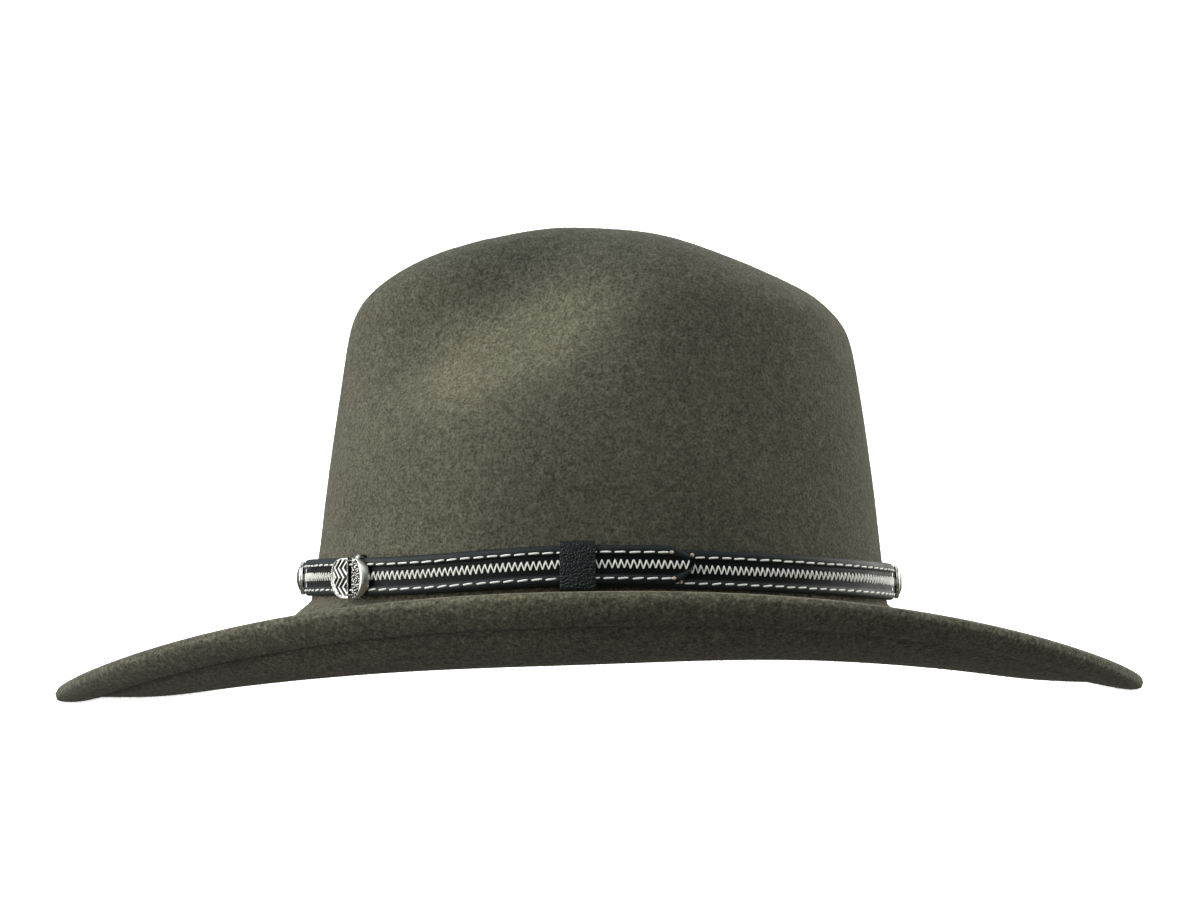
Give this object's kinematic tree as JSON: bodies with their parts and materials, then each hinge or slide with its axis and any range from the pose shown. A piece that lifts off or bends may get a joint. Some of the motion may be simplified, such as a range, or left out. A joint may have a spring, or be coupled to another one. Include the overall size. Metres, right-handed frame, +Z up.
{
  "type": "felt hat",
  "caption": "Grey-olive felt hat with a pinched, creased crown, a rolled brim with folded welt, and a stitched black leather strap with buckle and two conchos.",
  "frame": {"origin": "on the surface that the brim rests on, below the middle of the hat's outline", "axes": "+X towards the back of the hat, +Y towards the wearer's right, +Z up"},
  "size_m": [0.3911, 0.3186, 0.1671],
  "materials": {
    "felt": "matt wool felt, short fine nap",
    "strap_leather": "semi-matt black leather",
    "cast_silver": "cast, polished high spots, dark grooves",
    "black_stone": "glossy, faceted"
  },
  "bodies": {
    "root": {"felt_body": "felt", "band_strap": "strap_leather", "strap_keeper": "strap_leather", "buckle": "cast_silver", "front_concho_setting": "cast_silver", "back_concho_setting": "cast_silver", "front_concho_stone": "black_stone", "back_concho_stone": "black_stone"}
  },
  "joints": []
}
